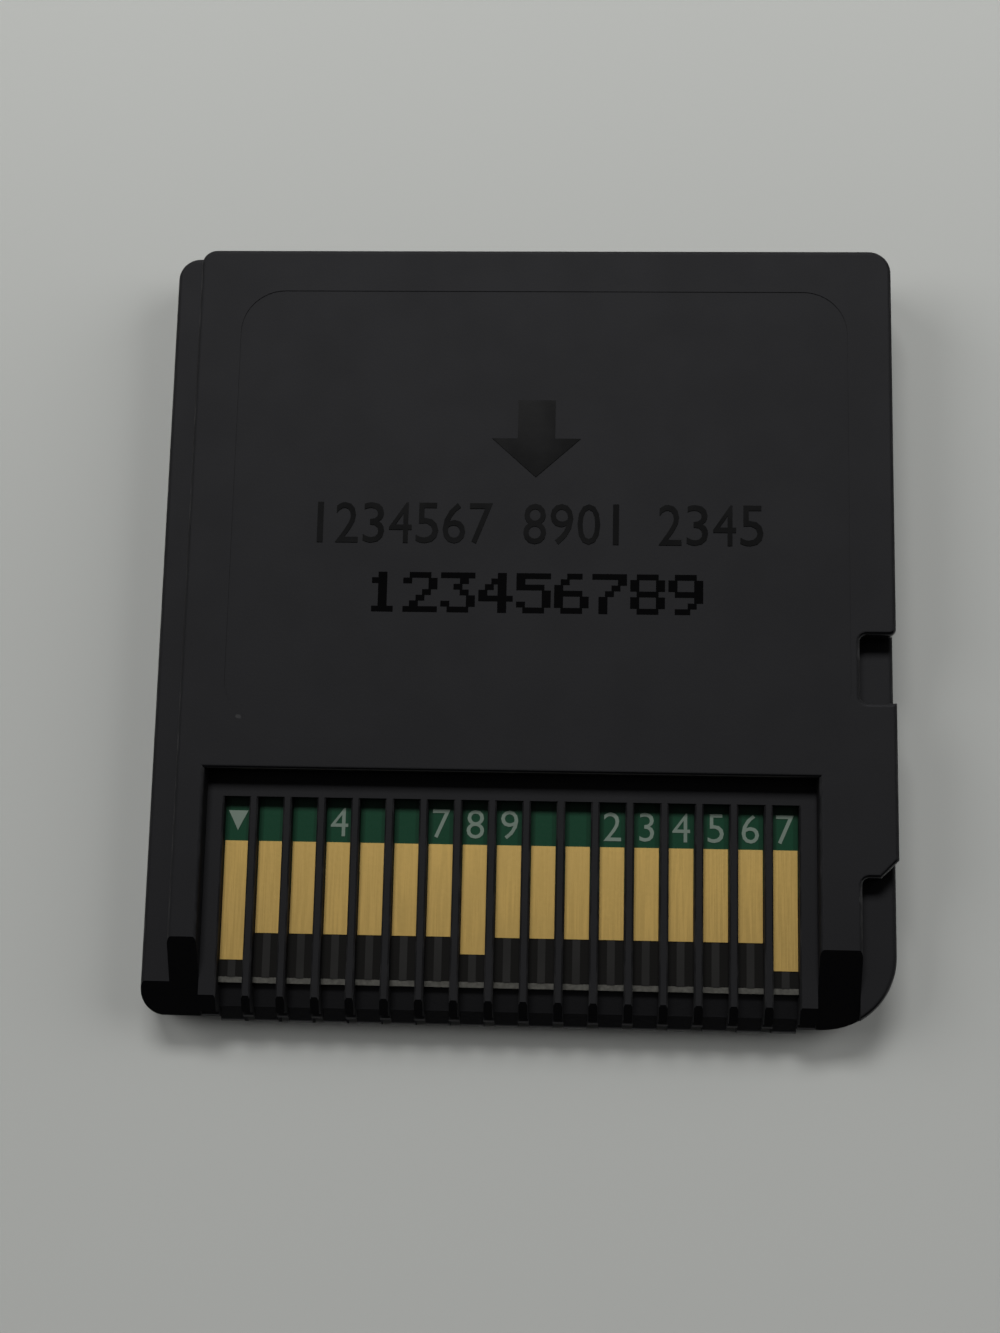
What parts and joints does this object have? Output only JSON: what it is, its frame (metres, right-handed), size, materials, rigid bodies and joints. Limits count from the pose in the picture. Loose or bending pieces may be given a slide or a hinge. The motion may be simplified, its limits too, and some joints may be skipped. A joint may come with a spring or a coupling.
{
  "type": "game cartridge",
  "caption": "Small flat game card for a handheld console: two dark moulded half shells closed over a circuit board, with gold edge contacts in a ribbed window.",
  "frame": {"origin": "middle of the card's outline on its label face, which lies on the surface", "axes": "+Y along the card, away from its contacts; +Z out of its contact side; +X to the right, seen from the contact side with the contacts nearest"},
  "size_m": [0.033, 0.0352, 0.0038],
  "materials": {
    "shell_plastic": "fine matt moulded",
    "board_laminate": "green masked laminate, bare at the contact edge",
    "contact_gold": "gold plated, satin",
    "chip_package": "moulded epoxy",
    "lead_tin": "tin plated",
    "capacitor_ceramic": "matt",
    "resistor_film": "glazed"
  },
  "bodies": {
    "root": {"rear_shell": "shell_plastic", "front_shell": "shell_plastic", "circuit_board": "board_laminate", "rom_chip": "chip_package", "rom_leads": "lead_tin", "save_chip": "chip_package", "save_leads": "lead_tin", "contact_01": "contact_gold", "contact_02": "contact_gold", "contact_03": "contact_gold", "contact_04": "contact_gold", "contact_05": "contact_gold", "contact_06": "contact_gold", "contact_07": "contact_gold", "contact_08": "contact_gold", "contact_09": "contact_gold", "contact_10": "contact_gold", "contact_11": "contact_gold", "contact_12": "contact_gold", "contact_13": "contact_gold", "contact_14": "contact_gold", "contact_15": "contact_gold", "contact_16": "contact_gold", "contact_17": "contact_gold", "capacitor_1": "capacitor_ceramic", "capacitor_2": "capacitor_ceramic", "capacitor_3": "capacitor_ceramic", "resistor_1": "resistor_film", "resistor_2": "resistor_film"}
  },
  "joints": []
}
